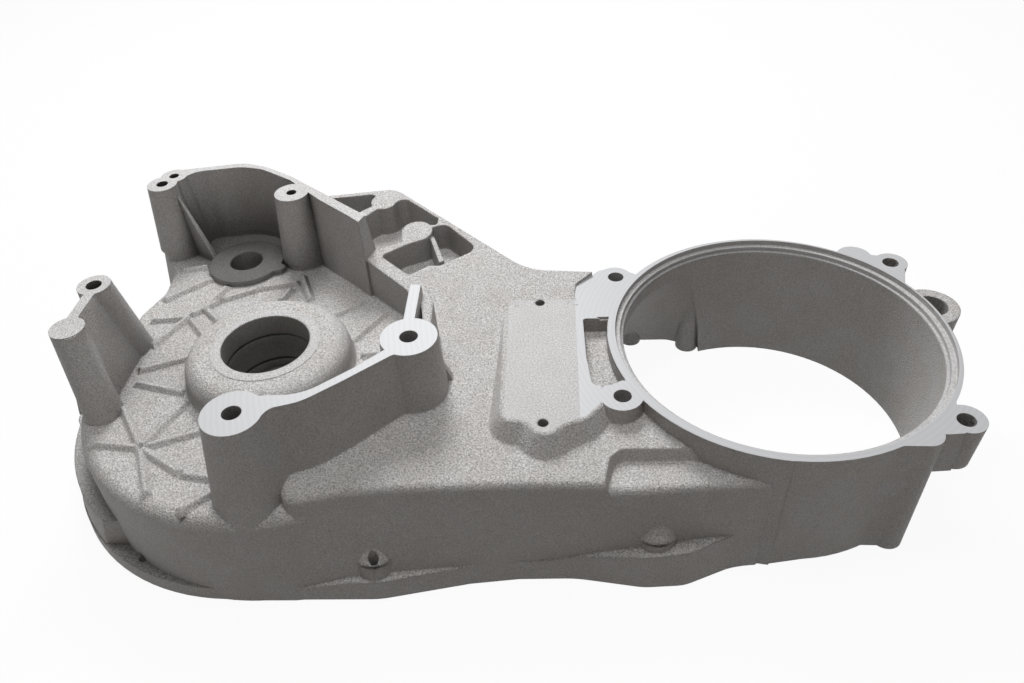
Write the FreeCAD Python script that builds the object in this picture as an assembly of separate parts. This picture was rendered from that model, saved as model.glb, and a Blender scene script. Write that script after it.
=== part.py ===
import FreeCAD
import Part
import math
import os

# Inner primary cover of a twin-cylinder motorcycle engine, one aluminium sand casting.
# The open side with the gasket face looks down; the top carries the engine ring, the gearbox
# mainshaft boss, the starter pocket and the gearbox mounting bosses. Heights are counted from
# the gasket face while building. The finished cover is then set with its origin on the engine
# shaft axis at the machined ring face, -X pointing to the gearbox mainshaft.

V = FreeCAD.Vector

# Levels above the gasket face, in millimetres.
SHAFT_SPACING = 326.0
FLOOR_Z = 71.5
DECK_Z = 85.3
DECK_FRONT_Y = -65.0
DECK_SLOPE = 0.095
RING_Z = 94.8
MOUNT_Z = 129.0
BEARING_Z = 92.6
FLANGE_Z = 9.4
LEDGE_Z = 34.0
SHOULDER_Z = 77.0
DISC_Z = 75.0
TERRACE_Z = 76.0
POCKET_Z = 83.0
GROOVE_Z = 84.3
RECESS_Z = 78.0

# Walls, drafts and cast radii.
WALL = 4.6
TOP_SKIN = 5.0
DECK_SKIN = 6.5
MOUNT_DRAFT = 5.5
BOSS_A_DRAFT = 4.5
BOSS_B_DRAFT = 3.5
EDGE_R = 9.0
DECK_EDGE_R = 5.0
RIB_W = 7.0
RIB_H = 2.6
RIB_DRAFT = 45.0

# Engine ring.
RING_BORE_R = 102.0
RING_STEP = 3.45
RING_STEP_R = 98.75
RING_SEAT = 6.45
RING_SEAT_R = 96.84
RING_INNER_R = 95.7
RING_TOP_R = 107.3
RING_FOOT_R = 100.5
RING_LEFT_R = 105.5
RING_SHIFT = (-1.5, -1.5)
RING_RIM_R = 105.3
RING_SPLIT_X = -14.4
LUG_HOLE_R = 5.25
LUG_FOOT_Z = 65.0

# Gearbox mainshaft boss.
BEARING_R = 28.4
BEARING_LAND_R = 35.2
BEARING_BOSS_R = 53.5
BEARING_SHOULDER_R = 12.0
BEARING_FOOT_R = 6.0
LAND_STEP = 0.3
BEARING_HUB_R = 38.0
BEARING_HUB_Z = 44.0
BEARING_LIP_R = 24.5
BEARING_LIP = 4.0
CLIP_GROOVE = 1.9
CLIP_DEPTH = 1.7
CLIP_LEVELS = (15.0, 36.0)

# Vent lug behind the ring.
VENT = (110.2, 42.0)
VENT_R = 10.4
VENT_BOSS_R = 18.6
VENT_Z = 80.0

# Clutch drum, flange and starter.
DRUM_R = 125.0
FLANGE_R = 136.0
STARTER_BORE_R = 12.3
STARTER_DISC_R = 28.0
MOUNT_HOLE_R = 5.35
COVER_SCREW_R = 2.9
PAD_SCREW_R = 3.1


def from_gearbox(points):
    """Plan points measured from the gearbox mainshaft axis, set in the frame of the engine axis."""
    return [(p[0] - SHAFT_SPACING,) + tuple(p[1:]) for p in points]


def outline(corners, z, grow=0.0):
    """Closed wire of straight runs joined by tangent arcs. Each corner is (x, y, radius);
    grow moves every run outward and carries the arcs with it."""
    area = sum(a[0] * b[1] - b[0] * a[1] for a, b in zip(corners, corners[1:] + corners[:1]))
    ring = corners if area > 0 else corners[::-1]
    count = len(ring)
    runs = []
    for i in range(count):
        a, b = ring[i], ring[(i + 1) % count]
        length = math.hypot(b[0] - a[0], b[1] - a[1])
        runs.append(V((b[0] - a[0]) / length, (b[1] - a[1]) / length, 0))
    turns = []
    for i in range(count):
        before, after = runs[i - 1], runs[i]
        out_before, out_after = V(before.y, -before.x, 0), V(after.y, -after.x, 0)
        point = V(ring[i][0], ring[i][1], z)
        point += (out_before + out_after) * (grow / (1 + out_before.dot(out_after)))
        bend = before.x * after.y - before.y * after.x
        radius = ring[i][2]
        if radius > 0:
            radius = max(radius + (grow if bend > 0 else -grow), 0.3)
        angle = math.atan2(abs(bend), before.dot(after))
        reach = radius * math.tan(angle / 2)
        middle = point
        if reach > 1e-6:
            inward = (after - before).normalize()
            middle = point + inward * (radius / math.cos(angle / 2) - radius)
        turns.append((point - before * reach, middle, point + after * reach, reach > 1e-6))
    edges = []
    for i in range(count):
        start, middle, end, rounded = turns[i]
        if rounded:
            edges.append(Part.Arc(start, middle, end).toShape())
        following = turns[(i + 1) % count][0]
        if (following - end).Length > 1e-5:
            edges.append(Part.LineSegment(end, following).toShape())
    return Part.Wire(edges)


def drafted(corners, low, high, draft, at=None):
    """Solid between two levels whose sides lean in by the draft angle going up;
    the corners give its outline at the level called at, or at the top."""
    at = high if at is None else at
    lean = math.tan(math.radians(draft))
    return Part.makeLoft(
        [outline(corners, low, (at - low) * lean), outline(corners, high, (at - high) * lean)],
        True, True)


def morphed(low_corners, low, high_corners, high):
    """Solid between two outlines that have the same number of corners."""
    return Part.makeLoft([outline(low_corners, low), outline(high_corners, high)], True, True)


def boss(low, high):
    """Leaning conical column between two (x, y, radius, z) sections, cut level at both."""
    (x0, y0, r0, z0), (x1, y1, r1, z1) = low, high
    axis = V(x1 - x0, y1 - y0, z1 - z0)
    over = 0.12
    start = V(x0, y0, z0) - axis * over
    grow = (r1 - r0) * over
    length = axis.Length * (1 + 2 * over)
    if abs(grow) < 1e-6:
        body = Part.makeCylinder(r0, length, start, axis)
    else:
        body = Part.makeCone(r0 - grow, r1 + grow, length, start, axis)
    size = 3 * max(r0, r1) + abs(x1 - x0) + abs(y1 - y0)
    return body.common(Part.makeBox(2 * size, 2 * size, z1 - z0, V(x0 - size, y0 - size, z0)))


def hole(x, y, radius, low, high):
    return Part.makeCylinder(radius, high - low, V(x, y, low))


def turned(x, y, profile):
    """Solid of revolution about a vertical axis. The profile lists (radius, z) corners; an entry
    with a third value is a point that the arc to the next corner passes through."""
    points = [V(x + entry[0], y, entry[1]) for entry in profile]
    edges = []
    last = 0
    for i in range(1, len(profile) + 1):
        i %= len(profile)
        if len(profile[i]) == 3:
            continue
        if len(profile[i - 1]) == 3:
            edges.append(Part.Arc(points[last], points[i - 1], points[i]).toShape())
        else:
            edges.append(Part.LineSegment(points[last], points[i]).toShape())
        last = i
    return Part.Face(Part.Wire(edges)).revolve(V(x, y, 0), V(0, 0, 1), 360)


def rounded(shape, radius, test):
    edges = [edge for edge in shape.Edges if test(edge.CenterOfMass, edge)]
    return shape.makeFillet(radius, edges)


def deck_height(y):
    return DECK_Z + DECK_SLOPE * (y - DECK_FRONT_Y)


def below_deck(drop=0.0):
    """Everything under the sloping deck, lowered by drop."""
    near, far = -220.0, 260.0
    section = [V(-600, near, -50), V(-600, far, -50), V(-600, far, deck_height(far) - drop),
               V(-600, near, deck_height(near) - drop)]
    return Part.Face(Part.makePolygon(section + section[:1])).extrude(V(900, 0, 0))


# Plan of the clutch end, measured from the mainshaft axis.
DRUM_X, DRUM_Y = 4.0 - SHAFT_SPACING, -2.0
FLANGE_X, FLANGE_Y = -10.0 - SHAFT_SPACING, 9.0
BOSS_A = (15.7 - SHAFT_SPACING, -99.1)
BOSS_B = (102.2 - SHAFT_SPACING, -39.0)
MOUNT_BOSS_R = 16.8
STARTER = (-49.3 - SHAFT_SPACING, 119.4)
STARTER_BOSS = (-4.5 - SHAFT_SPACING, 127.5)
DOUBLE_NEAR = (-107.3 - SHAFT_SPACING, 145.1)
DOUBLE_FAR = (-102.1 - SHAFT_SPACING, 156.9)
LUG_HOLE = (-107.2 - SHAFT_SPACING, 17.7)
LUG_PAD = (-105.8 - SHAFT_SPACING, -25.5)

floor_low = from_gearbox([(-4, -128.3, 0), (29, -128.3, 0), (64, -125.2, 0), (64, 100, 0), (-4, 100, 0)])
floor_high = from_gearbox([(-4, -126.6, 0), (33, -122.4, 0), (64, -114.7, 0), (64, 100, 0), (-4, 100, 0)])

starter_high = from_gearbox([
    (-109, 10, 0), (-110, 58, 12), (-101, 84, 14), (-103, 112, 12), (-121, 137, 9), (-127, 162, 18),
    (-102, 175, 30), (-50, 182, 30), (-24, 172, 25), (0, 150, 0), (62, 104, 0), (62, 10, 0)])
starter_low = from_gearbox([
    (-112, 10, 0), (-113, 58, 12), (-106, 84, 14), (-108, 110, 16), (-129, 127, 14), (-132, 163, 20),
    (-105, 180, 30), (-48, 187, 30), (-20, 176, 25), (4, 154, 0), (62, 104, 0), (62, 10, 0)])

deck_high = [
    (-291, -119.0, 10), (-262, -108.8, 40), (-236, -107.0, 120), (-160, -107.6, 150), (-100, -109.6, 120),
    (-22, -105.0, 0), (-6, -60, 0), (-6, 60, 0), (-100, 62.0, 0), (-158, 66.5, 40), (-262, 165.6, 16),
    (-336, 156, 0),
    (-339, 150, 0), (-274.5, 93, 0), (-270.8, 81.5, 3), (-238, 49.5, 12), (-228.6, 8, 0),
    (-228.6, -36, 0), (-254, -71, 0), (-278, -90, 0), (-292, -93, 0)]
deck_low = [
    (-297, -128.3, 10), (-262, -125.2, 40), (-236, -121.8, 120), (-160, -113.6, 150), (-100, -111.8, 120),
    (-22, -104.4, 0), (-6, -60, 0), (-6, 60, 0), (-100, 69, 0), (-161, 76, 40), (-260, 174.5, 18),
    (-341, 165, 0),
    (-345, 150, 0), (-283, 88, 0), (-279, 77, 3), (-246, 45, 12), (-237, 6, 0),
    (-237, -37, 0), (-262, -76, 0), (-285, -96, 0), (-297, -100, 0)]
DECK_LOFT_Z = 112.0

# Inside of the far flank, where the chain passes under the ring.
flank_low = [(-161, 50, 0), (-29, 50, 0), (-29, 97.5, 3), (-52, 106.5, 14), (-96, 107, 20), (-161, 84, 0)]
flank_high = [(-130, 45, 0), (-38, 45, 0), (-38, 90, 6), (-60, 79, 20), (-88, 58, 20), (-130, 50, 0)]

machined_face = [(-121.8, 18.2, 2), (-126.6, 41, 14), (-125.4, 52.4, 4), (-108.8, 69.2, 3),
                 (-98, 72, 0), (-84, 64, 0), (-100, 18.2, 0)]


def flange_body():
    """Low round flange of the clutch end, its high ledge at the left, and the waved front flange."""
    low = Part.makeCone(FLANGE_R + 0.4, FLANGE_R - 0.4, FLANGE_Z, V(FLANGE_X, FLANGE_Y, 0))
    ledge = Part.makeCone(FLANGE_R, FLANGE_R - 4.6, LEDGE_Z, V(FLANGE_X, FLANGE_Y, 0))
    slot = drafted(from_gearbox([(-160, -95, 0), (-72, -95, 0), (-72, 40, 0), (-160, 40, 0)]),
                   0, LEDGE_Z, -3.0)
    ledge = ledge.common(slot)
    ledge_end = boss((FLANGE_X - 121, -4, 15, 0), (FLANGE_X - 121, -4, 12.5, LEDGE_Z))
    wave = [(-335, -128.0, 0), (-246, -127.6, 60), (-178, -114.2, 50), (-130, -113.6, 80),
            (-90, -120.0, 40), (-66, -118.6, 25), (-38, -106.6, 40), (-21, -103.6, 0),
            (-21, -60, 0), (-335, -60, 0)]
    front = drafted(wave, 0, 40, 1.5, at=0)
    rise = [V(-340, -200, -1), V(-340, -200, FLANGE_Z), V(-300, -200, FLANGE_Z), V(-262, -200, 16.0),
            V(-150, -200, 17.0), V(-98, -200, 27.0), V(-55, -200, 31.0), V(-30, -200, 31.0),
            V(-21, -200, 16.0), V(-21, -200, -1)]
    front = front.common(Part.Face(Part.makePolygon(rise + rise[:1])).extrude(V(0, 150, 0)))
    far = [(-175, 60, 0), (-20, 60, 0), (-20, 104, 0), (-52, 114.5, 18), (-98, 115, 25), (-175, 91, 30)]
    return [low, ledge, ledge_end, front, drafted(far, 0, FLANGE_Z, 2.0, at=0)]


def outer_skin():
    """Pan with its decks, before hollowing."""
    drum = Part.makeCone(DRUM_R + 1.5, DRUM_R, FLOOR_Z, V(DRUM_X, DRUM_Y, 0))
    drum = rounded(drum, EDGE_R, lambda c, e: c.z > FLOOR_Z - 0.01)
    floor = morphed(floor_low, 0, floor_high, FLOOR_Z)
    floor = rounded(floor, EDGE_R, lambda c, e: c.z > FLOOR_Z - 0.01 and c.y < -100)
    starter = morphed(starter_low, 0, starter_high, FLOOR_Z)
    deck = morphed(deck_low, 0, deck_high, DECK_LOFT_Z).common(below_deck())
    deck = rounded(deck, DECK_EDGE_R, lambda c, e: c.z > 75 and c.y < -100 and e.Length > 10)
    deck = rounded(deck.cut(terrace()), DECK_EDGE_R,
                   lambda c, e: 75 < c.z < TERRACE_Z + 0.1 and c.y < -100 and e.Length > 30)
    ring = boss((0, 0, RING_FOOT_R, 0), RING_SHIFT + (RING_RIM_R, RING_Z))
    left = Part.makeCone(RING_LEFT_R, RING_TOP_R, RING_Z, V(0, 0, 0))
    left = left.common(Part.makeBox(200, 130, RING_Z, V(RING_SPLIT_X - 200, -130, 0)))
    fairing = morphed([(RING_SPLIT_X, -103.7, 0), (14, -99.2, 0), (4, -80, 0), (RING_SPLIT_X, -80, 0)], 0,
                      [(RING_SPLIT_X, -104.1, 0), (-4, -104.6, 0), (0, -80, 0), (RING_SPLIT_X, -80, 0)], 66)
    flank = Part.makeLoft([outline(flank_low, 0, WALL), outline(flank_high, RECESS_Z, WALL)], True, True)
    return [drum, floor, starter, deck, ring, left, fairing, flank]


def screw_bosses():
    """Two bosses for cover screws that stand out of the front wall, domed at the top."""
    waist_1, waist_2 = (-247.8, -113.3, 11.3, 26), (-83.0, -103.5, 12.0, 33)
    return [boss((-247.8, -115.0, 11.7, 0), waist_1), boss(waist_1, (-247.8, -109.0, 6.5, 38)),
            boss((-83.0, -106.5, 12.3, 0), waist_2), boss(waist_2, (-83.0, -95.0, 8.0, 52))]


def ring_lugs():
    """Bolt lugs round the engine ring; the right pair stop short of the gasket face."""
    left = [boss((-98.5, 61.0, 13.5, 60), (-98.5, 61.0, 11.5, RING_Z)),
            boss((-104.0, -53.5, 16.5, 74), (-101.6, -54.6, 12.6, RING_Z))]
    right = [boss((89.0, 70.9, 10.3, LUG_FOOT_Z), (89.5, 71.8, 10.6, RING_Z)),
             boss((83.4, -76.6, 10.4, LUG_FOOT_Z), (84.4, -76.8, 11.0, RING_Z)),
             drafted([(60, -60, 0), (60, -85, 0), (70, -88.3, 4), (80, -87.6, 0), (84, -60, 0)],
                     LUG_FOOT_Z, RING_Z, 0.5),
             drafted([(60, 68, 0), (66, 86, 0), (80.5, 80.5, 3), (89.5, 79, 0), (96, 63, 0), (91.5, 49, 0),
                      (84, 45, 0)], LUG_FOOT_Z, RING_Z, 0.5),
             morphed([(41, -86, 0), (41.7, -90.4, 0), (55, -90.8, 0), (60, -80, 0)], 0,
                     [(40, -92, 0), (44, -96.2, 0), (58, -96.6, 0), (60, -80, 0)], RING_Z)]
    face = drafted(machined_face, 74, RING_Z, 2.0)
    columns = [boss((60.3, -84.2, 9.4, 0), (59.0, -86.5, 10.2, RING_Z)),
               boss((63.0, 80.0, 9.0, 0), (67.0, 80.3, 11.4, RING_Z))]
    vent = boss((VENT[0] - 1.5, VENT[1] - 0.6, VENT_BOSS_R - 1.2, VENT_Z - 32),
                (VENT[0] - 1.0, VENT[1] - 0.5, VENT_BOSS_R, VENT_Z))
    return left + right + [face] + columns + [vent]


def above_face():
    """Space over the machined ring face, where the deck behind it stands a little higher."""
    top = RING_Z + 20
    lug = hole(-98.5, 61.0, 11.5, RING_Z, top)
    rim = hole(0, 0, RING_TOP_R, RING_Z, top)
    return [drafted(machined_face, RING_Z, top, 0.0), lug, rim]


def ring_cut():
    """Stepped register and the through opening of the engine ring."""
    top = RING_Z + 60
    return turned(0, 0, [(0, -5), (RING_INNER_R, -5), (RING_SEAT_R, RING_Z - RING_SEAT),
                         (RING_STEP_R, RING_Z - RING_SEAT), (RING_STEP_R, RING_Z - RING_STEP),
                         (RING_BORE_R, RING_Z - RING_STEP), (RING_BORE_R, top), (0, top)])


def pump_pad():
    """Raised flat pad on the deck with two screw bumps, and the groove between it and the ring."""
    top = RING_Z
    plate = [(-172.5, 28.5, 9), (-172.0, -73.5, 8), (-158, -74.5, 8), (-147.5, -88.5, 9),
             (-136, -78, 9), (-122, -72, 8), (-112, -60, 0), (-112, 25, 0), (-140, 40, 0),
             (-152, 44, 8), (-160, 34, 10)]
    pad = drafted(plate, DECK_Z - 8, top, 36.0)
    pad = rounded(pad, 3.0, lambda c, e: c.z > top - 0.01)
    groove = [(-121.8, 16.8, 2), (-121.0, -20, 0), (-118.5, -46, 5), (-108, -46, 5),
              (-94, -38, 0), (-94, 16.8, 0)]
    groove = drafted(groove, GROOVE_Z, top + 5, -4.0, at=top)
    return pad, groove.cut(Part.makeCone(RING_LEFT_R, RING_TOP_R, RING_Z + 10, V(0, 0, 0)))


def gearbox_mounts():
    """Bosses A and B with the wall between them, and the neck that runs to the starter side."""
    (ax, ay), (bx, by) = BOSS_A, BOSS_B
    foot = FLOOR_Z - EDGE_R
    spread = (MOUNT_Z - foot) * math.tan(math.radians(BOSS_A_DRAFT))
    lift = (MOUNT_Z - 60) * math.tan(math.radians(BOSS_B_DRAFT))
    bosses = [boss((ax - 2.6, ay - 5.6, MOUNT_BOSS_R + spread, foot), (ax, ay, MOUNT_BOSS_R, MOUNT_Z)),
              boss((bx, by, MOUNT_BOSS_R + lift, 60), (bx, by, MOUNT_BOSS_R, MOUNT_Z))]
    wall = [(-304, -88, 0), (-296, -86, 0), (-276.5, -86, 30), (-250.5, -64.5, 0), (-232, -46, 0),
            (-226, -52, 0), (-232.2, -55.8, 0), (-256.6, -76.5, 0), (-275.6, -91.5, 30), (-291, -96, 8),
            (-296.5, -106.5, 0), (-304, -104, 0)]
    neck = [(-228.9, -35, 0), (-228.9, 11, 0), (-222.2, 11, 0), (-222.2, -35, 0)]
    fin = [(-217.5, -24, 0), (-224.5, 16.5, 0), (-226, 19, 0), (-219, 14, 6), (-214.4, 3, 10),
           (-213.4, -24, 0)]
    buttress_1 = [(-224, -40, 0), (-224, -36, 0), (-202.5, -28, 0), (-202.5, -31.5, 0)]
    buttress_2 = [(-225, -45, 0), (-225, -40, 0), (-205.5, -42, 0), (-205.5, -45.5, 0)]
    return bosses + [
        drafted(wall, 60, MOUNT_Z, MOUNT_DRAFT),
        drafted(neck, 60, MOUNT_Z, 3.0),
        drafted(fin, 74, 122.0, 2.0),
        fin_plate(buttress_1, 78, 108.0, (-208, 104), (-202.5, 88)),
        fin_plate(buttress_2, 78, 108.0, (-211, 104), (-205.5, 87))]


def fin_plate(corners, low, high, start, end):
    """Thin rib whose top slopes from start to end, both (x, z)."""
    plate = drafted(corners, low, high, 2.0)
    (x0, z0), (x1, z1) = start, end
    reach = x1 + (x1 - x0)
    keep = [V(-500, -200, 0), V(-500, -200, z0), V(x0, -200, z0), V(reach, -200, z1 + (z1 - z0)),
            V(reach, -200, 0)]
    return plate.common(Part.Face(Part.makePolygon(keep + keep[:1])).extrude(V(0, 400, 0)))


def starter_wall():
    """Curved wall round the starter pocket, with its three threaded bosses."""
    lean = math.tan(math.radians(MOUNT_DRAFT))
    band = from_gearbox([
        (-106, 165.5, 6), (-93, 167.2, 20), (-52, 174.5, 30), (-33, 167, 25), (-11, 152, 0),
        (55.2, 93.5, 0), (52, 85, 0), (44, 93, 0), (18, 116.5, 14), (-10, 146, 0), (-36, 164, 25),
        (-53, 168.3, 30), (-86, 163, 16), (-99, 150, 0), (-108, 150, 0)])
    wall = drafted(band, 40, MOUNT_Z, MOUNT_DRAFT)
    height = MOUNT_Z - 40
    near, far, right = DOUBLE_NEAR, DOUBLE_FAR, STARTER_BOSS
    gusset = fin_plate([(-429.3, 147.4, 0), (-430.7, 145.4, 0), (-401.5, 125.1, 0), (-400.1, 127.1, 0)],
                       FLOOR_Z - 2, 121, (-422.5, 121), (-400.8, FLOOR_Z))
    pieces = [wall]
    for (x, y), radius, dx, dy in ((near, 11.0, 0, -4), (far, 10.0, 0, 0), (right, 12.4, 0, 0)):
        low = (x + dx, y + dy, radius + height * lean, MOUNT_Z - height)
        pieces.append(boss(low, (x, y, radius, MOUNT_Z)))
    above = Part.makeBox(400, 300, MOUNT_Z, V(-560, 0, SHOULDER_Z))
    within = drafted(starter_high, 40, SHOULDER_Z, 2.0, at=FLOOR_Z)
    parts = [piece.common(side) for piece in pieces for side in (above, within)]
    return parts + [gusset]


def left_lug():
    """Gearbox lug at the left end: a thin web between a bored boss and a solid pad, with long feet."""
    (hx, hy), (px, py) = LUG_HOLE, LUG_PAD
    web_high = [(px - 4.2, py, 0), (px + 2.2, py, 0), (hx + 4.4, hy, 0), (hx - 2.4, hy, 0)]
    web_low = [(px - 17, py - 4, 0), (px + 13.5, py - 8, 0), (hx + 15, hy + 8, 0), (hx - 12, hy + 4, 0)]
    return [morphed(web_low, 60, web_high, MOUNT_Z),
            boss((hx + 0.5, hy + 7, 17.5, 60), (hx, hy, 10.5, MOUNT_Z)),
            boss((px - 1.8, py - 2.5, 12.8, 40), (px, py, 10.4, MOUNT_Z)),
            boss((px + 9, py - 17, 13.0, 55), (px + 1.2, py - 1.8, 8.6, MOUNT_Z - 0.5))]


def bearing_boss():
    """Mainshaft boss: machined land a little above the wide rounded shoulder, filleted foot."""
    outer, foot, top = BEARING_BOSS_R, BEARING_FOOT_R, BEARING_Z - LAND_STEP
    low = top - BEARING_SHOULDER_R
    bend = math.sqrt(0.5)
    return turned(-SHAFT_SPACING, 0.0, [
        (0, FLOOR_Z - 20), (outer + foot, FLOOR_Z - 20), (outer + foot, FLOOR_Z - 0.5),
        (outer + foot * (1 - bend), FLOOR_Z - 0.5 + foot * (1 - bend)), (outer, FLOOR_Z - 0.5 + foot),
        (outer, low), (outer - BEARING_SHOULDER_R * (1 - bend), low + BEARING_SHOULDER_R * bend, 1),
        (outer - BEARING_SHOULDER_R, top), (BEARING_LAND_R, top), (BEARING_LAND_R, BEARING_Z),
        (0, BEARING_Z)])


def bearing_cut():
    """Bore with two clip grooves above a narrower lip."""
    x, y = -SHAFT_SPACING, 0.0
    r, groove = BEARING_R, BEARING_R + CLIP_DEPTH
    seat = BEARING_HUB_Z + BEARING_LIP
    first, second = BEARING_Z - CLIP_LEVELS[0], BEARING_Z - CLIP_LEVELS[1]
    return turned(x, y, [
        (0, -5), (BEARING_LIP_R, -5), (BEARING_LIP_R, seat), (r, seat),
        (r, second - CLIP_GROOVE), (groove, second - CLIP_GROOVE), (groove, second), (r, second),
        (r, first - CLIP_GROOVE), (groove, first - CLIP_GROOVE), (groove, first), (r, first),
        (r, BEARING_Z + 50), (0, BEARING_Z + 50)])


def floor_ribs():
    """Low stiffening ribs that fan out over the clutch floor."""
    runs = [
        ((-62.9, -70.7), (-94, -67)), ((-62.9, -70.7), (-88, -34.6)), ((-62.9, -70.7), (-47, -31)),
        ((-62.9, -70.7), (-25, -56)), ((-62.9, -70.7), (-45.5, -108)), ((-62.9, -70.7), (-31.5, -91.4)),
        ((-31.5, -91.4), (-7, -96)), ((-5, -102.7), (-24, -119)), ((-90.6, -1.7), (-55, 12)),
        ((-87.6, -13.3), (-50, -24)), ((-90.3, 21.7), (-73.6, 56.2)), ((-73.6, 56.2), (-56.9, 73.2)),
        ((-56.9, 73.2), (-30.8, 86.9)), ((-30.8, 86.9), (-2.3, 93.3)), ((-72.5, 52.7), (-52, 28)),
        ((-65.1, 64), (-46, 44)), ((-56.2, 91.5), (-67.4, 59.4)), ((-101.1, 51.3), (-72.9, 53.9)),
        ((-100, 74), (-69.3, 102)), ((-99, 112), (-77.6, 116.6)), ((-6.9, 87.3), (-12, 70)),
        ((-2.7, 102.2), (10.7, 71)), ((30, 52), (51, 69.7)), ((45, 18), (66.9, 55.4)),
        ((56, 10), (73.1, 12.4))]
    ribs = []
    for (x0, y0), (x1, y1) in runs:
        length = math.hypot(x1 - x0, y1 - y0)
        nx, ny = -(y1 - y0) / length * RIB_W / 2, (x1 - x0) / length * RIB_W / 2
        corners = from_gearbox([(x0 + nx, y0 + ny, 0), (x0 - nx, y0 - ny, 0),
                                (x1 - nx, y1 - ny, 0), (x1 + nx, y1 + ny, 0)])
        ribs.append(drafted(corners, FLOOR_Z - 1, FLOOR_Z + RIB_H, RIB_DRAFT, at=FLOOR_Z))
    return ribs


def starter_disc():
    """Machined disc round the starter shaft, with its small side tab."""
    x, y = STARTER
    tab = [(x + 18, y + 4, 0), (x + 33, y - 8, 2), (x + 30, y - 13, 2), (x + 14, y - 16, 0)]
    return [Part.makeCone(STARTER_DISC_R + 0.8, STARTER_DISC_R, DISC_Z - FLOOR_Z + 2, V(x, y, FLOOR_Z - 2)),
            drafted(tab, FLOOR_Z - 2, DISC_Z, 5.0)]


def deck_pockets():
    """Ribbed pockets between the starter wall and the far rim, cut from the deck."""
    high, low, draft = 125.0, POCKET_Z, 4.0
    a = [(-334, 153, 0), (-307, 156, 0), (-276, 160, 3), (-278.5, 150, 4), (-277, 145.5, 0),
         (-287, 137, 0), (-320, 138, 0)]
    b = [(-281, 131.5, 0), (-277, 101, 0), (-267, 92.5, 2), (-249.3, 100.8, 2), (-251, 117, 5),
         (-236, 121, 5), (-225.5, 120, 2), (-225, 127.5, 3), (-255, 155.5, 6), (-262, 143, 5),
         (-273, 140.5, 3)]
    c = [(-263, 86, 3), (-240.5, 64.3, 3), (-226.5, 74.5, 8), (-219.5, 73.5, 8), (-193.5, 91.5, 7),
         (-219, 121, 8), (-229, 117, 4), (-233, 104, 10), (-246, 98, 8)]
    cuts = [drafted(shape, low, high, -draft, at=101.0) for shape in (a, b, c)]
    rib = drafted([(-231, 112, 0), (-227, 110, 0), (-217.5, 82, 0), (-220.5, 80, 0)], low - 1, 99.0, 3.0)
    rib = rib.common(below_deck(2.0))
    columns = [boss((x, y, radius + 2, low - 2), (x, y, radius - 0.4, 118)).common(below_deck())
               for x, y, radius in ((-269, 150.5, 9.2), (-239.6, 113.4, 10.6))]
    return cuts, [rib] + columns


def terrace():
    """Lower step of the front deck beside the ring."""
    step = [(-121, -130, 0), (-111, -91, 6), (-104, -85.5, 7), (-60, -85.5, 0), (20, -85.5, 0), (20, -130, 0)]
    return drafted(step, TERRACE_Z, 110, -20.0, at=84.0)


def cavity():
    """Hollow of the pan, open at the gasket face."""
    skin = FLOOR_Z - TOP_SKIN
    drum = Part.makeCone(DRUM_R - WALL + 1.5, DRUM_R - WALL, skin + 1, V(DRUM_X, DRUM_Y, -1))
    inset = -WALL
    floor = Part.makeLoft([outline(floor_low, -1, inset), outline(floor_high, skin, inset)], True, True)
    starter = Part.makeLoft([outline(starter_low, -1, inset), outline(starter_high, skin, inset)], True, True)
    deck = Part.makeLoft([outline(deck_low, -1, inset), outline(deck_high, DECK_LOFT_Z, inset)], True, True)
    deck = deck.common(below_deck(DECK_SKIN))
    pockets = [(-345, 175, 0), (-345, 125, 0), (-289, 130, 0), (-286, 90, 0), (-266, 83, 0),
               (-240, 56, 0), (-184, 88, 0), (-184, 100, 0), (-258, 180, 0)]
    terrace_end = [(-130, -130, 0), (-117, -84, 0), (-20, -80, 0), (-8, -80, 0), (-8, -130, 0)]
    groove_end = [(-127, 22, 0), (-127, -51, 0), (-90, -51, 0), (-90, 22, 0)]
    deck = deck.cut([drafted(pockets, POCKET_Z - TOP_SKIN, 130, 0),
                     drafted(terrace_end, TERRACE_Z - TOP_SKIN, 130, 0),
                     drafted(groove_end, GROOVE_Z - TOP_SKIN, 130, 0),
                     hole(0, 0, RING_TOP_R, RECESS_Z, 130)])
    flank = morphed(flank_low, -1, flank_high, RECESS_Z)
    return [drum, floor, starter, deck, flank]


def inner_columns():
    """Screw columns and shaft hub inside the pan."""
    skin = FLOOR_Z - TOP_SKIN + 2
    spots = [(-80.5, 107.5, 8.0, 26), (-37.3, 99.5, 8.4, 78), (-269, 150.5, 10.0, 92),
             (-240, 113.4, 10.0, 88), (-447, -6, 8.0, 30), (DOUBLE_NEAR[0], DOUBLE_NEAR[1], 10.0, skin)]
    columns = [hole(x, y, radius, 0, top) for x, y, radius, top in spots]
    columns.append(boss((-247, -113, 9.5, 0), (-247, -103, 9.0, 48)))
    columns.append(boss((-83.5, -105, 8.5, 0), (-83.5, -99, 8.0, 40)))
    columns.append(hole(-SHAFT_SPACING, 0, BEARING_HUB_R, BEARING_HUB_Z, skin))
    columns.append(hole(-149.4, 34.1, PAD_SCREW_R + 4, RING_Z - 19, RING_Z - 5))
    columns.append(hole(STARTER[0], STARTER[1], STARTER_BORE_R + 7, FLOOR_Z - 24, skin))
    return columns


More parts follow.
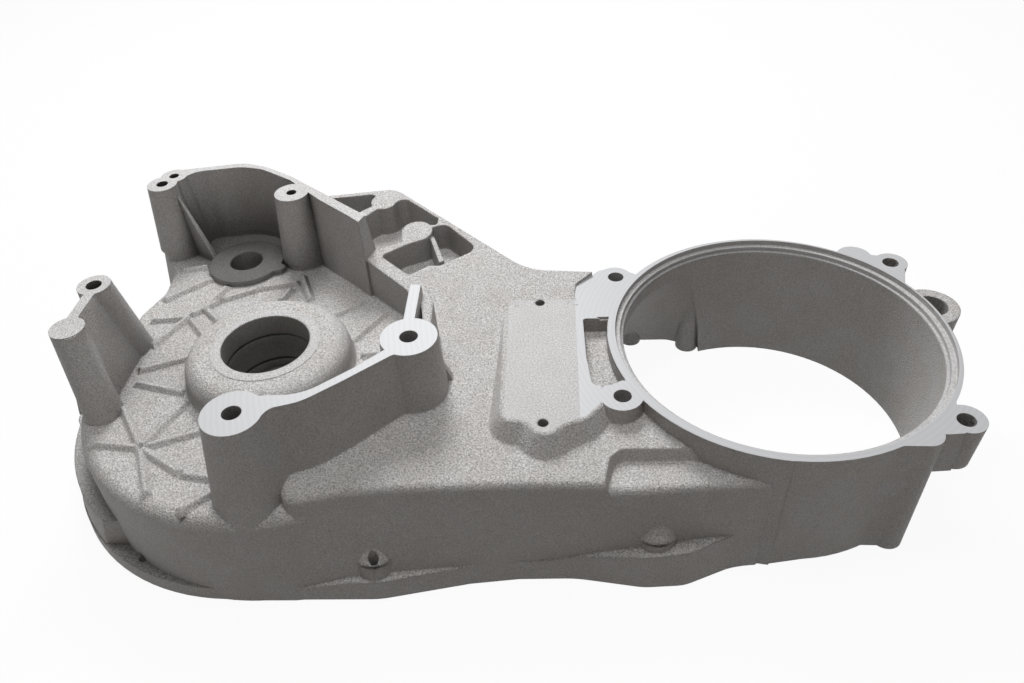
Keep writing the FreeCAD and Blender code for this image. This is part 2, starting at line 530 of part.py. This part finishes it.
def drilled_holes():
    """Bolt holes, shaft bores and tapped screw holes."""
    top = MOUNT_Z + 5
    cuts = [hole(x, y, LUG_HOLE_R, 40, RING_Z + 5)
            for x, y in ((-97.8, 61.4), (-101.4, -55.1), (89.0, 71.5), (84.1, -77.6))]
    cuts += [hole(x, y, MOUNT_HOLE_R, 40, top) for x, y in (BOSS_A, BOSS_B)]
    cuts.append(hole(LUG_HOLE[0], LUG_HOLE[1], 5.0, 90, top))
    cuts.append(hole(DOUBLE_NEAR[0], DOUBLE_NEAR[1], 4.25, 95, top))
    cuts.append(hole(DOUBLE_FAR[0], DOUBLE_FAR[1], 3.6, 100, top))
    cuts.append(hole(STARTER_BOSS[0], STARTER_BOSS[1], 3.65, 100, top))
    cuts.append(hole(STARTER[0], STARTER[1], STARTER_BORE_R, 30, 90))
    cuts += [hole(x, y, PAD_SCREW_R, RING_Z - 14, RING_Z + 5) for x, y in ((-149.4, 34.1), (-147.5, -76.0))]
    cuts.append(hole(VENT[0], VENT[1], VENT_R, 40, 90))
    cuts += [hole(x, y, COVER_SCREW_R, -1, high) for x, y, high in (
        (-246.4, -121.4, 45), (-395.5, -104.5, 14), (-83.5, -109.5, 20), (60, -84.3, 20),
        (63, 80, 20), (-37.3, 100.0, 20), (-80.5, 107.5, 20), (-269, 150.5, 20), (-240, 113.4, 20),
        (-447, -6, 20), (DOUBLE_NEAR[0], DOUBLE_NEAR[1], 20))]
    return cuts


def build():
    pad, groove = pump_pad()
    cuts, kept = deck_pockets()
    skin = outer_skin()
    body = skin[0].fuse(skin[1:] + flange_body() + ring_lugs())
    body = body.fuse([pad] + screw_bosses())
    body = body.cut([groove] + above_face())
    body = body.cut(cuts).fuse(kept)
    body = body.fuse([bearing_boss()] + gearbox_mounts() + starter_wall() + left_lug()
                     + starter_disc() + floor_ribs())
    body = body.cut(cavity())
    body = body.fuse(inner_columns())
    body = body.cut([ring_cut(), bearing_cut()] + drilled_holes())
    above = Part.makeBox(400, 400, 60, V(-600, -200, MOUNT_Z))
    below = Part.makeBox(900, 600, 60, V(-600, -300, -60))
    body = body.cut([above, below]).removeSplitter()
    body.translate(V(0, 0, -RING_Z))
    return body


os.makedirs("parts", exist_ok=True)
cover = build()
cover.Solids[0].exportStep("parts/inner_primary_cover.step")
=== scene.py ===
import math

import bpy
from mathutils import Matrix, Vector

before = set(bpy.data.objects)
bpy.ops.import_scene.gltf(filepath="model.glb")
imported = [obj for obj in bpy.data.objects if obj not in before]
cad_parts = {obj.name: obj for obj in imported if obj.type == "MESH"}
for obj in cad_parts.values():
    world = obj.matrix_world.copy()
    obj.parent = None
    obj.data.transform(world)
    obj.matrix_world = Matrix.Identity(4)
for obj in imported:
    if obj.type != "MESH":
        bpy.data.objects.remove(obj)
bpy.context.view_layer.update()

MM = 0.001

# Levels of the machined faces, in metres from the ring face.
RING_LEVEL = 0.0
GEARBOX_LEVEL = 34.2 * MM
LAND_LEVEL = -2.2 * MM
DISC_LEVEL = -19.8 * MM
REGISTER_FLOOR = -6.8 * MM
FLANGE_LEVEL = -80.0 * MM
FLOOR_LEVEL = -94.8 * MM
LEVEL_REACH = 0.25 * MM

# Axes, radii and lines that bound the machined faces and the painted shade in the hollows.
RING = (0.0, 0.0, 0.0)
REGISTER_R = 102.6 * MM
MAINSHAFT = (-326.0 * MM, 0.0, 0.0)
LAND_R = 35.4 * MM
COVERED_R = 112.0 * MM
STARTER = (-375.3 * MM, 119.4 * MM, 0.0)
DISC_R = 45.0 * MM
POCKET_R = 80.0 * MM
RING_FACE_LEFT = -126.5 * MM
PAD_LEFT = -170.0 * MM
MOUNTS_LEFT = -345.0 * MM
MOUNTS_FAR = 30.0 * MM
PAINTED_SHADE_LEFT = -330.0 * MM

# How bright a machined face is. 1 is the fresh cut of the ring face and the gearbox bosses.
PAD_CUT = 0.35
POCKET_WALL_CUT = 0.3
LAND_CUT = 0.3
REGISTER_CUT = 0.45

# Sizes of the patterns. Sand grain is really about 0.3 mm and cutter arcs about 1 mm apart, too
# fine for the render, so both are drawn coarser.
GRAIN = 1.0 * MM
GRAIN_DEPTH = 0.9 * MM
MOTTLE = 25.0 * MM
ARC_GAP = 3.0 * MM
HOLLOW_REACH = 60.0 * MM

SOFT_EDGE = 2.6 * MM
CRISP_EDGE = 0.5 * MM
FLANGE_EDGE_SHARE = 0.25
SMOOTH_BELOW = math.radians(32)


def linear(colour):
    """Linear RGBA of an sRGB hex colour."""
    parts = [int(colour[i:i + 2], 16) / 255 for i in (1, 3, 5)]
    return [c / 12.92 if c <= 0.04045 else ((c + 0.055) / 1.055) ** 2.4 for c in parts] + [1.0]


def add(tree, kind, *values, inputs=None, output=0, **settings):
    """New node of a kind with its settings. Values fill its inputs in turn and a dict fills them by
    key; a value that is a socket is linked. Returns one output, or the node if it has none."""
    node = tree.nodes.new(kind)
    for name, value in settings.items():
        setattr(node, name, value)
    for key, value in [*enumerate(values), *(inputs or {}).items()]:
        if isinstance(value, bpy.types.NodeSocket):
            tree.links.new(value, node.inputs[key])
        else:
            node.inputs[key].default_value = value
    return node.outputs[output] if node.outputs else node


def distance_from(tree, position, axis):
    """Distance of each point from a vertical axis."""
    flat = add(tree, "ShaderNodeVectorMath", position, (1, 1, 0), operation="MULTIPLY")
    return add(tree, "ShaderNodeVectorMath", flat, axis, operation="DISTANCE", output="Value")


def milled_faces(tree, place, facing):
    """How bright the machining leaves each point, from 0 on the cast skin to 1 on the ring face."""
    x, y, height = add(tree, "ShaderNodeSeparateXYZ", place).node.outputs
    rim = add(tree, "ShaderNodeMath", x, RING_FACE_LEFT, operation="GREATER_THAN")
    pad = add(tree, "ShaderNodeMath", x, PAD_LEFT, operation="GREATER_THAN")
    pad = add(tree, "ShaderNodeMath", pad, PAD_CUT, operation="MULTIPLY")
    ring_face = add(tree, "ShaderNodeMath", height, RING_LEVEL, LEVEL_REACH, operation="COMPARE")
    ring_share = add(tree, "ShaderNodeMath", rim, pad, operation="MAXIMUM")
    ring_face = add(tree, "ShaderNodeMath", ring_face, ring_share, operation="MULTIPLY")

    # The two bosses beside the gearbox are cut bright; the pocket's wall at the same level is duller.
    right = add(tree, "ShaderNodeMath", x, MOUNTS_LEFT, operation="GREATER_THAN")
    near = add(tree, "ShaderNodeMath", y, MOUNTS_FAR, operation="LESS_THAN")
    bosses = add(tree, "ShaderNodeMath", right, near, operation="MULTIPLY")
    tops = add(tree, "ShaderNodeMath", height, GEARBOX_LEVEL, LEVEL_REACH, operation="COMPARE")
    tops_share = add(tree, "ShaderNodeMath", bosses, POCKET_WALL_CUT, operation="MAXIMUM")
    tops = add(tree, "ShaderNodeMath", tops, tops_share, operation="MULTIPLY")

    land = add(tree, "ShaderNodeMath", height, LAND_LEVEL, LEVEL_REACH, operation="COMPARE")
    land_share = add(tree, "ShaderNodeMath", distance_from(tree, place, MAINSHAFT), LAND_R,
                     operation="LESS_THAN")
    land = add(tree, "ShaderNodeMath", land, land_share, operation="MULTIPLY")
    land = add(tree, "ShaderNodeMath", land, LAND_CUT, operation="MULTIPLY")

    level_face = add(tree, "ShaderNodeMath", facing, 0.995, operation="GREATER_THAN")
    levels = add(tree, "ShaderNodeMath", ring_face, tops, operation="MAXIMUM")
    levels = add(tree, "ShaderNodeMath", levels, land, operation="MAXIMUM")
    levels = add(tree, "ShaderNodeMath", levels, level_face, operation="MULTIPLY")

    # The stepped register below the rim is turned, and greyer than the faces.
    high = add(tree, "ShaderNodeMath", height, REGISTER_FLOOR, operation="GREATER_THAN")
    inside = add(tree, "ShaderNodeMath", distance_from(tree, place, RING), REGISTER_R,
                 operation="LESS_THAN")
    steps = add(tree, "ShaderNodeMath", high, inside, operation="MULTIPLY")
    steps = add(tree, "ShaderNodeMath", steps, REGISTER_CUT, operation="MULTIPLY")
    return add(tree, "ShaderNodeMath", levels, steps, operation="MAXIMUM")


def painted_hollow_shade(tree, place, facing):
    """Painted shade, 1 where it is darkest. It darkens hollows and bores, walls more than level faces,
    most of it in the starter pocket with a painted shadow on its disc, and little of it on the level
    faces right of the drum."""
    x, y, height = add(tree, "ShaderNodeSeparateXYZ", place).node.outputs
    open_share = add(tree, "ShaderNodeAmbientOcclusion", inputs={"Distance": HOLLOW_REACH},
                     output="AO", samples=4, only_local=True)
    hollow = add(tree, "ShaderNodeMapRange", open_share, 0.0, 0.9, 1.0, 0.0,
                 interpolation_type="SMOOTHSTEP")
    walls = add(tree, "ShaderNodeMapRange", facing, 0.3, 0.9, 0.45, 0.1,
                interpolation_type="SMOOTHSTEP")
    share = add(tree, "ShaderNodeMapRange", x, PAINTED_SHADE_LEFT, PAINTED_SHADE_LEFT + 30 * MM, 1.0, walls,
                interpolation_type="SMOOTHSTEP")
    from_starter = distance_from(tree, place, STARTER)
    pocket = add(tree, "ShaderNodeMapRange", from_starter, POCKET_R - 10 * MM, POCKET_R, 1.7, 1.0,
                 interpolation_type="SMOOTHSTEP")
    share = add(tree, "ShaderNodeMath", share, pocket, operation="MULTIPLY")
    painted_shade = add(tree, "ShaderNodeMath", hollow, share, operation="MULTIPLY")
    painted_shade = add(tree, "ShaderNodeMath", painted_shade, 1.0, operation="MINIMUM")
    # Painted shadow of the starter wall on the disc in the starter pocket.
    level = add(tree, "ShaderNodeMath", height, DISC_LEVEL, LEVEL_REACH, operation="COMPARE")
    painted_disc_shadow = add(tree, "ShaderNodeMath", from_starter, DISC_R, operation="LESS_THAN")
    painted_disc_shadow = add(tree, "ShaderNodeMath", level, painted_disc_shadow, operation="MULTIPLY")
    painted_disc_shadow = add(tree, "ShaderNodeMath", painted_disc_shadow, 0.85, operation="MULTIPLY")
    return add(tree, "ShaderNodeMath", painted_shade, painted_disc_shadow, operation="MAXIMUM")


def soft_edges(tree, place):
    """Normal that rounds the cast edges. Those at the machined faces and the flange stay crisp."""
    x, y, height = add(tree, "ShaderNodeSeparateXYZ", place).node.outputs
    off_rim = add(tree, "ShaderNodeMath", x, RING_FACE_LEFT, operation="LESS_THAN")
    ring_gap = add(tree, "ShaderNodeMath", height, RING_LEVEL, operation="SUBTRACT")
    ring_gap = add(tree, "ShaderNodeMath", ring_gap, operation="ABSOLUTE")
    ring_gap = add(tree, "ShaderNodeMath", ring_gap, off_rim, operation="ADD")
    tops_gap = add(tree, "ShaderNodeMath", height, GEARBOX_LEVEL, operation="SUBTRACT")
    tops_gap = add(tree, "ShaderNodeMath", tops_gap, operation="ABSOLUTE")
    gap = add(tree, "ShaderNodeMath", tops_gap, ring_gap, operation="MINIMUM")
    radius = add(tree, "ShaderNodeMapRange", gap, 1.0 * MM, 6.0 * MM, CRISP_EDGE, SOFT_EDGE,
                 interpolation_type="SMOOTHSTEP")
    flange = add(tree, "ShaderNodeMapRange", height, FLANGE_LEVEL - 4 * MM, FLANGE_LEVEL + 4 * MM,
                 FLANGE_EDGE_SHARE, 1.0, interpolation_type="SMOOTHSTEP")
    radius = add(tree, "ShaderNodeMath", radius, flange, operation="MULTIPLY")
    return add(tree, "ShaderNodeBevel", radius, samples=6)


def cast_aluminium():
    """Sand-cast aluminium, blasted clean and machined on its joint faces. The cast skin is a matt
    warm grey with a sandy grain, the milled faces are smooth and lighter, and painted shade darkens the
    hollows."""
    material = bpy.data.materials.new("sand_cast_aluminium_with_milled_faces")
    material.use_nodes = True
    tree = material.node_tree
    tree.nodes.clear()
    place = add(tree, "ShaderNodeTexCoord", output="Object")
    normal = add(tree, "ShaderNodeNewGeometry", output="True Normal")
    facing = add(tree, "ShaderNodeSeparateXYZ", normal, output="Z")
    milled = milled_faces(tree, place, facing)
    painted_shade = painted_hollow_shade(tree, place, facing)

    # The grain's speckle is the skin's own sandy tone; on upward faces its contrast is raised up to 2.2
    # times as painted glints of the overhead light.
    grain = add(tree, "ShaderNodeTexNoise", output="Fac", inputs={
        "Vector": place, "Scale": 1 / GRAIN, "Detail": 2.0, "Roughness": 0.7})
    upward_glint_gain = add(tree, "ShaderNodeMapRange", facing, 0.0, 1.0, 1.0, 2.2,
                 interpolation_type="SMOOTHSTEP")
    speckle = add(tree, "ShaderNodeMath", grain, 0.5, operation="SUBTRACT")
    speckle = add(tree, "ShaderNodeMath", speckle, upward_glint_gain, operation="MULTIPLY")
    speckle = add(tree, "ShaderNodeMath", speckle, 0.5, operation="ADD")
    skin = add(tree, "ShaderNodeValToRGB", speckle)
    for stop, position, tone in zip(skin.node.color_ramp.elements, (0.1, 0.9), ("#8F8C8A", "#F0EDEB")):
        stop.position = position
        stop.color = linear(tone)

    # Slow mottling of the blasted skin.
    mottle = add(tree, "ShaderNodeTexNoise", output="Fac", inputs={
        "Vector": place, "Scale": 1 / MOTTLE, "Detail": 2.0, "Roughness": 0.5})
    mottle = add(tree, "ShaderNodeMapRange", mottle, 0.35, 0.65, 0.0, 0.6,
                 interpolation_type="SMOOTHSTEP")
    skin = add(tree, "ShaderNodeMix", data_type="RGBA", blend_type="MULTIPLY", output=2,
               inputs={0: mottle, 6: skin, 7: linear("#F6F3F0")})

    # Arcs left by the milling cutter. A ring wave of scale 1 repeats about every 0.3 m.
    arcs = add(tree, "ShaderNodeTexWave", wave_type="RINGS", rings_direction="Z", output="Fac", inputs={
        "Vector": place, "Scale": 0.3 / ARC_GAP, "Distortion": 2.0, "Detail": 2.0, "Detail Scale": 1.5})
    arcs = add(tree, "ShaderNodeMapRange", arcs, 0.2, 0.8, interpolation_type="SMOOTHSTEP")
    bright = add(tree, "ShaderNodeMix", data_type="RGBA", output=2,
                 inputs={0: arcs, 6: linear("#C2C2C3"), 7: linear("#C6C6C7")})
    clean = add(tree, "ShaderNodeMix", data_type="RGBA", output=2, inputs={0: milled, 6: skin, 7: bright})
    # Painted shade: the colour is darkened towards a dark brown grey in the hollows, on the walls and on
    # the disc.
    colour = add(tree, "ShaderNodeMix", data_type="RGBA", blend_type="MULTIPLY", output=2,
                 inputs={0: painted_shade, 6: clean, 7: linear("#45413D")})

    # The milled faces are the least rough, and the high grains of the cast skin the most.
    cast = add(tree, "ShaderNodeMath", 1.0, milled, operation="SUBTRACT")
    relief = add(tree, "ShaderNodeMath", grain, cast, operation="MULTIPLY")
    rough = add(tree, "ShaderNodeMapRange", relief, 0.2, 0.7, 0.5, 0.58, interpolation_type="SMOOTHSTEP")
    bump = add(tree, "ShaderNodeBump", inputs={
        "Strength": 1.0, "Distance": GRAIN_DEPTH, "Height": relief, "Normal": soft_edges(tree, place)})
    # Blasted metal scatters nearly all its light, so only a trace of it is left as a mirror.
    surface = add(tree, "ShaderNodeBsdfPrincipled", inputs={
        "Base Color": colour, "Metallic": 0.05, "Roughness": rough, "Normal": bump})
    add(tree, "ShaderNodeOutputMaterial", surface)
    return material


def soft_shading(piece):
    """Joins the loose triangles and shades them smooth wherever they meet at a small angle."""
    group = bpy.data.node_groups.new("smooth_below_angle", "GeometryNodeTree")
    group.interface.new_socket("Geometry", in_out="INPUT", socket_type="NodeSocketGeometry")
    group.interface.new_socket("Geometry", in_out="OUTPUT", socket_type="NodeSocketGeometry")
    start = add(group, "NodeGroupInput")
    merged = add(group, "GeometryNodeMergeByDistance", inputs={"Geometry": start, "Distance": 0.002 * MM})
    bend = add(group, "GeometryNodeInputMeshEdgeAngle", output="Unsigned Angle")
    gentle = add(group, "FunctionNodeCompare", bend, SMOOTH_BELOW, operation="LESS_THAN")
    faces = add(group, "GeometryNodeSetShadeSmooth", domain="FACE", inputs={
        "Geometry": merged, "Shade Smooth": True})
    edges = add(group, "GeometryNodeSetShadeSmooth", domain="EDGE", inputs={
        "Geometry": faces, "Shade Smooth": gentle})
    add(group, "NodeGroupOutput", edges)
    piece.modifiers.new("smooth_below_angle", "NODES").node_group = group
    weighted = piece.modifiers.new("flat_faces_stay_flat", "WEIGHTED_NORMAL")
    weighted.keep_sharp = True
    weighted.weight = 50


def seen_directly(tree):
    """1 for the rays that show the background itself: camera, glossy and transmission rays."""
    rays = add(tree, "ShaderNodeLightPath").node.outputs
    through = add(tree, "ShaderNodeMath", rays["Is Glossy Ray"], rays["Is Transmission Ray"],
                  operation="MAXIMUM")
    return add(tree, "ShaderNodeMath", rays["Is Camera Ray"], through, operation="MAXIMUM")


def paper_floor():
    """White paper under the cover. It looks white by its own glow, and keeps the cover's shadow."""
    size = 6.0
    mesh = bpy.data.meshes.new("floor")
    corners = [(-size, -size), (size, -size), (size, size), (-size, size)]
    mesh.from_pydata([(x, y, FLOOR_LEVEL) for x, y in corners], [], [(0, 1, 2, 3)])
    floor = bpy.data.objects.new("floor", mesh)
    bpy.context.scene.collection.objects.link(floor)
    material = bpy.data.materials.new("white_paper_floor")
    material.use_nodes = True
    tree = material.node_tree
    tree.nodes.clear()
    paper = add(tree, "ShaderNodeBsdfDiffuse", linear("#FFFFFF"))
    white = add(tree, "ShaderNodeEmission", inputs={"Color": (1, 1, 1, 1), "Strength": 1.0})
    # The paper under the closed end of the pan lies in the dark and shows none of the white glow.
    place = add(tree, "ShaderNodeTexCoord", output="Object")
    glow = add(tree, "ShaderNodeMath", distance_from(tree, place, MAINSHAFT), COVERED_R,
               operation="GREATER_THAN")
    glow = add(tree, "ShaderNodeMath", glow, 0.94, operation="MULTIPLY")
    shown = add(tree, "ShaderNodeMixShader", glow, paper, white)
    grey = add(tree, "ShaderNodeBsdfDiffuse", linear("#8C8A88"))
    above = add(tree, "ShaderNodeMixShader", seen_directly(tree), grey, shown)
    # From below the paper is clear and lets the lamp's light through, so that the open side shows.
    back = add(tree, "ShaderNodeNewGeometry", output="Backfacing")
    shadow = add(tree, "ShaderNodeLightPath", output="Is Shadow Ray")
    clear = add(tree, "ShaderNodeMath", back, shadow, operation="MAXIMUM")
    nothing = add(tree, "ShaderNodeBsdfTransparent")
    sided = add(tree, "ShaderNodeMixShader", clear, above, nothing)
    add(tree, "ShaderNodeOutputMaterial", sided)
    mesh.materials.append(material)


def studio_light():
    """Soft boxes behind and overhead, a weak glow from in front, a faint lamp under the open side,
    and a dim white room."""
    # Name, place, point aimed at, width in metres, spread in degrees, watts and tone.
    middle = (-0.18, 0.0, 0.0)
    lamps = (("back_box", (-0.40, 0.90, 1.05), middle, 0.5, 180, 15.0, "#FDFEFF"),
             ("overhead_box", (-0.15, 0.00, 1.45), middle, 0.5, 180, 8.5, "#FDFEFF"),
             ("table_glow", (-0.20, -1.70, 0.35), middle, 0.9, 180, 1.5, "#FFF3EA"),
             ("pan_lamp", (-0.32, 0.03, -1.20), (-0.32, 0.03, 0.0), 0.2, 24, 0.15, "#FFFFFF"))
    for name, place, aim, width, spread, power, tone in lamps:
        light = bpy.data.lights.new(name, "AREA")
        light.shape = "SQUARE"
        light.size = width
        light.spread = math.radians(spread)
        light.energy = power
        light.color = linear(tone)[:3]
        lamp = bpy.data.objects.new(name, light)
        lamp.location = place
        lamp.rotation_euler = (Vector(aim) - Vector(place)).to_track_quat("-Z", "Y").to_euler()
        bpy.context.scene.collection.objects.link(lamp)

    world = bpy.data.worlds.new("studio")
    bpy.context.scene.world = world
    world.use_nodes = True
    tree = world.node_tree
    tree.nodes.clear()
    room = add(tree, "ShaderNodeBackground", (1, 1, 1, 1), 0.01)
    white = add(tree, "ShaderNodeBackground", (1, 1, 1, 1), 1.0)
    mixed = add(tree, "ShaderNodeMixShader", seen_directly(tree), room, white)
    add(tree, "ShaderNodeOutputWorld", mixed)


def camera():
    """Camera of the photograph: 29.65 mm on a 36 mm frame, looking down at about 40 degrees."""
    data = bpy.data.cameras.new("camera")
    data.lens = 29.65
    data.sensor_width = 36.0
    data.clip_start = 0.01
    eye = bpy.data.objects.new("camera", data)
    right = Vector((0.99853, 0.02806, -0.04632))
    down = Vector((-0.01714, -0.64768, -0.76172))
    ahead = Vector((-0.05137, 0.7614, -0.64624))
    turn = Matrix((right, -down, -ahead)).transposed().to_4x4()
    place = Vector((-139.71, -407.69, 341.97)) * MM
    eye.matrix_world = Matrix.Translation(place) @ turn
    bpy.context.scene.collection.objects.link(eye)
    bpy.context.scene.camera = eye


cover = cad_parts["inner_primary_cover"]
cover.data.materials.clear()
cover.data.materials.append(cast_aluminium())
soft_shading(cover)
paper_floor()
studio_light()
camera()
bpy.context.scene.view_settings.view_transform = "Standard"
